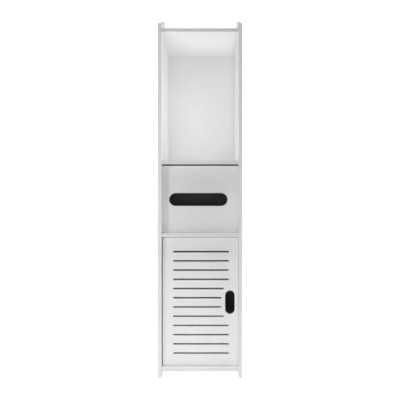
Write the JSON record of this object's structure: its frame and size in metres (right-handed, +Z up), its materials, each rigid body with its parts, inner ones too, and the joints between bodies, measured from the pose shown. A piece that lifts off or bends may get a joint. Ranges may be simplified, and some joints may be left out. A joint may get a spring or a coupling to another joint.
{
  "type": "toilet roll storage cabinet",
  "caption": "Slim white floor-standing bathroom cabinet with an open bay, a tissue bay with a slotted lift-up flap and a roll bay behind a louvred hinged door.",
  "frame": {"origin": "on the floor, under the middle of the cabinet's outline", "axes": "+Z up; the front with door and flap faces -Y; +X is on the right of someone who faces the front"},
  "size_m": [0.2, 0.18, 0.879],
  "materials": {
    "white_board": "white lacquered fibreboard, satin",
    "back_board": "white faced hardboard, satin",
    "nylon": "moulded nylon, matt",
    "cap_plastic": "moulded caps, satin",
    "pad_plastic": "moulded pads, matt",
    "steel": "zinc plated",
    "magnet": "pressed magnet and plain steel plates",
    "beech": "plain beech"
  },
  "bodies": {
    "carcass": {"side_panel_left": "white_board", "side_panel_right": "white_board", "top_panel": "white_board", "upper_shelf": "white_board", "lower_shelf": "white_board", "bottom_panel": "white_board", "back_panel": "back_board", "door_bush_upper": "nylon", "door_bush_lower": "nylon", "door_washer": "nylon", "flap_bush_left": "nylon", "flap_bush_right": "nylon", "stop_pegs": "nylon", "catch_body": "nylon", "catch_magnet": "magnet", "catch_screws": "steel", "side_screws_left": "steel", "side_screws_right": "steel", "screw_caps_left": "cap_plastic", "screw_caps_right": "cap_plastic", "dowels_left": "beech", "dowels_right": "beech", "foot_pads": "pad_plastic"},
    "door": {"door": "white_board", "door_pin_upper": "steel", "door_pin_lower": "steel", "strike_plate": "steel", "strike_screw": "steel"},
    "flap": {"tissue_flap": "white_board", "flap_pin_left": "steel", "flap_pin_right": "steel"}
  },
  "joints": [
    {"name": "door_hinge", "type": "hinge", "parent": "carcass", "child": "door", "pos_m": [-0.08399, -0.075, 0.1795], "axis": [0, 0, -1], "range_deg": [0, 100]},
    {"name": "flap_hinge", "type": "hinge", "parent": "carcass", "child": "flap", "pos_m": [0, -0.066, 0.50049], "axis": [-1, 0, 0], "range_deg": [0, 90]}
  ]
}
